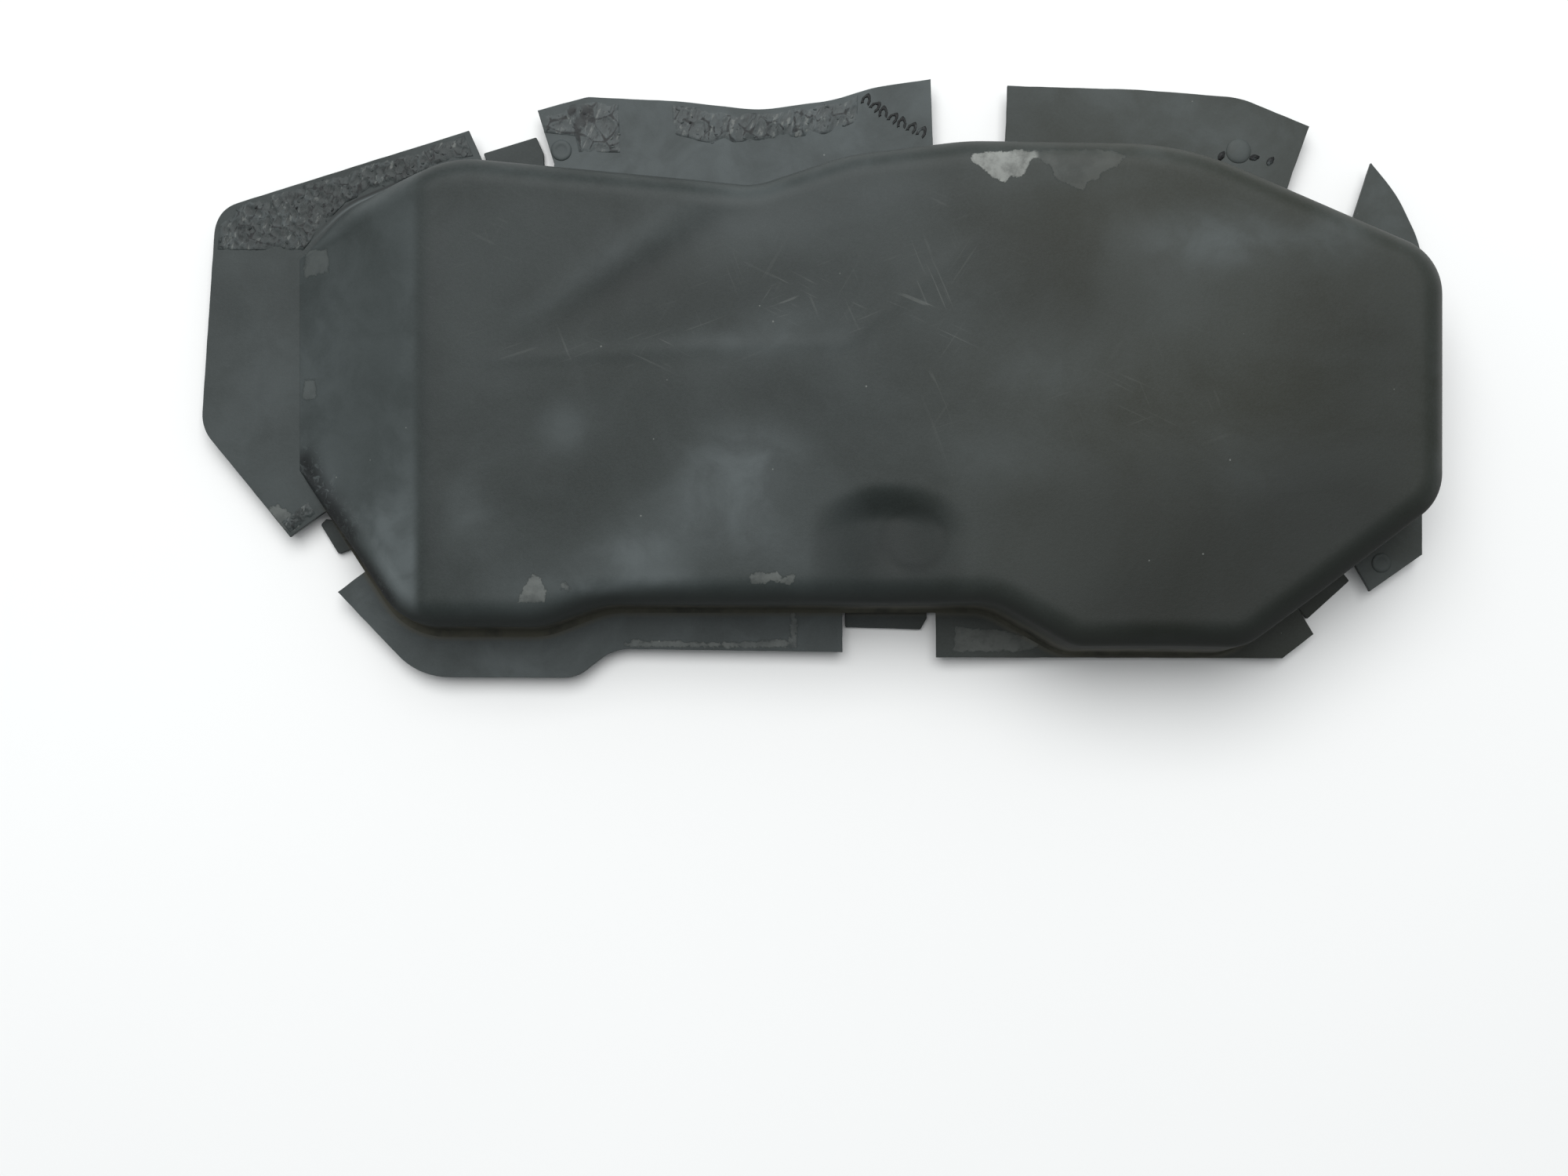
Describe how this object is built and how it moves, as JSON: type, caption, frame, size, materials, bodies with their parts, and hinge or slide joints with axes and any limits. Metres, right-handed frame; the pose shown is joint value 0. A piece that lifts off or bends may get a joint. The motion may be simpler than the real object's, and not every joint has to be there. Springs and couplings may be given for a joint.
{
  "type": "mud flap",
  "caption": "Dished black rubber cover with a notched edge flange and gripping tabs, pressed into the edge of a body panel cut-out to keep road dirt out.",
  "frame": {"origin": "under the middle of the whole outline, at the foot of the pan, which is the plane of the tabs' undersides", "axes": "+X along the long side, away from the sloping end; +Y across, towards the wide hinged flaps; +Z out of the panel, the way the pan bulges"},
  "size_m": [0.3699, 0.1817, 0.0435],
  "materials": {
    "rubber": "matt black moulded rubber, dusty and scuffed",
    "sealant": "crackled black sealing compound"
  },
  "bodies": {
    "cover": {"shell": "rubber", "left_flange": "rubber", "right_flange": "rubber", "lower_right_flange": "rubber", "lower_left_flange": "rubber", "right_pip": "rubber", "left_sealant": "sealant", "lower_left_sealant": "sealant"},
    "top_flap": {"top_flange": "rubber", "top_left_pip": "rubber", "top_left_sealant": "sealant", "top_middle_sealant": "sealant", "top_bead": "sealant"},
    "top_right_flap": {"top_right_flange": "rubber", "top_right_dome": "rubber", "top_right_dabs": "sealant"},
    "top_left_tab": {"top_left_tab": "rubber"},
    "lower_left_tab": {"lower_left_tab": "rubber"},
    "lower_tab": {"lower_tab": "rubber"},
    "lower_right_tab": {"lower_right_tab": "rubber"}
  },
  "joints": [
    {"name": "top_flap_bend", "type": "hinge", "parent": "cover", "child": "top_flap", "pos_m": [-0.0205, 0.0682, 0.006], "axis": [0.999, 0.0452, 0], "range_deg": [-8, 40], "stiffness_Nm_per_rad": 0.04},
    {"name": "top_right_flap_bend", "type": "hinge", "parent": "cover", "child": "top_right_flap", "pos_m": [0.1025, 0.06895, 0.006], "axis": [0.9889, -0.1489, 0], "range_deg": [-8, 40], "stiffness_Nm_per_rad": 0.04},
    {"name": "top_left_tab_bend", "type": "hinge", "parent": "cover", "child": "top_left_tab", "pos_m": [-0.08952, 0.06494, 0.001], "axis": [0.9949, -0.1007, 0], "range_deg": [-5, 35], "stiffness_Nm_per_rad": 0.01},
    {"name": "lower_left_tab_bend", "type": "hinge", "parent": "cover", "child": "lower_left_tab", "pos_m": [-0.14357, -0.04811, 0.001], "axis": [-0.5429, 0.8398, 0], "range_deg": [-5, 35], "stiffness_Nm_per_rad": 0.01},
    {"name": "lower_tab_bend", "type": "hinge", "parent": "cover", "child": "lower_tab", "pos_m": [0.02285, -0.0723, 0.001], "axis": [-1, 0, 0], "range_deg": [-5, 35], "stiffness_Nm_per_rad": 0.01},
    {"name": "lower_right_tab_bend", "type": "hinge", "parent": "cover", "child": "lower_right_tab", "pos_m": [0.15497, -0.06329, 0.001], "axis": [-0.7936, -0.6085, 0], "range_deg": [-5, 35], "stiffness_Nm_per_rad": 0.01}
  ]
}
